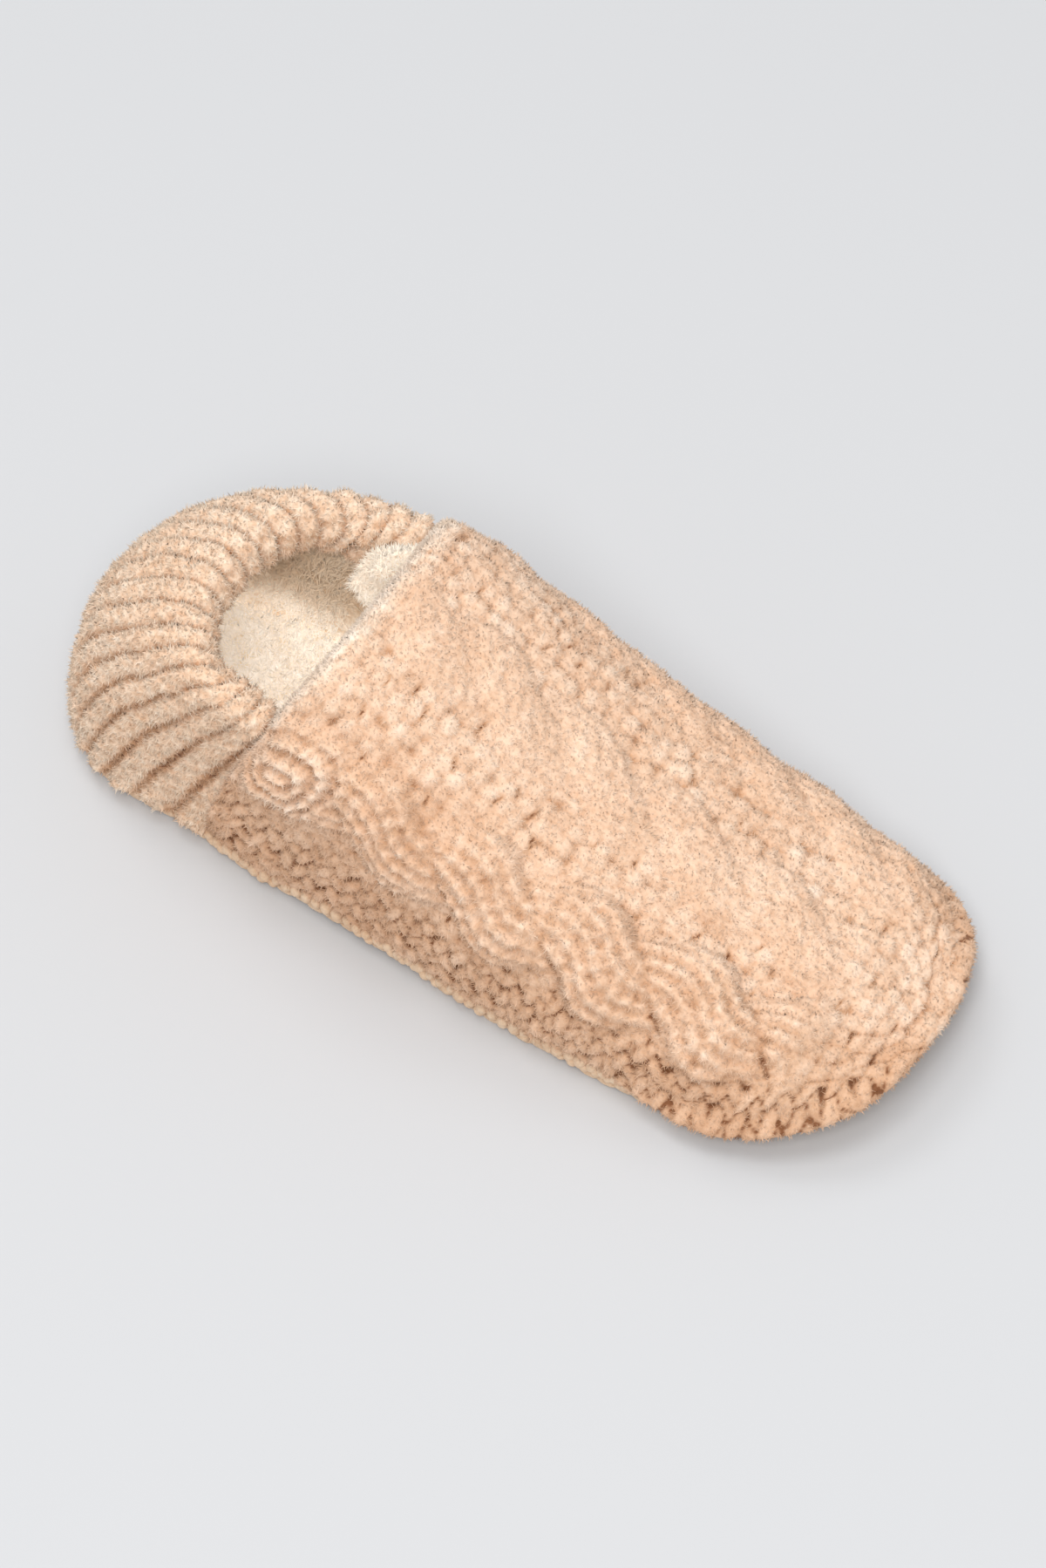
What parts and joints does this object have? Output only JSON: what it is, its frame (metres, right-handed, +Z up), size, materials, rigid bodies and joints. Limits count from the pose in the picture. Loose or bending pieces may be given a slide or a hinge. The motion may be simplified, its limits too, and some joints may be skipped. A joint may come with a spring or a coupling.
{
  "type": "slipper sock",
  "caption": "Cream cable-knit slipper sock with a ribbed heel, a rolled rim, a soft footbed and a cupped knit sole",
  "frame": {"origin": "on the floor, under the middle of the shoe", "axes": "+X to the toe, +Y to the wearer's left, +Z up"},
  "size_m": [0.256, 0.1002, 0.0888],
  "materials": {
    "cable_knit": "soft chenille cable knit, matt with a velvet sheen",
    "rib_knit": "plump chenille rib knit, matt with a velvet sheen",
    "sole_knit": "dense flat knit, matt",
    "pile_lining": "short soft pile, matt"
  },
  "bodies": {
    "root": {"upper_vamp": "cable_knit", "heel_collar": "rib_knit", "sole": "sole_knit", "insole": "pile_lining"}
  },
  "joints": []
}
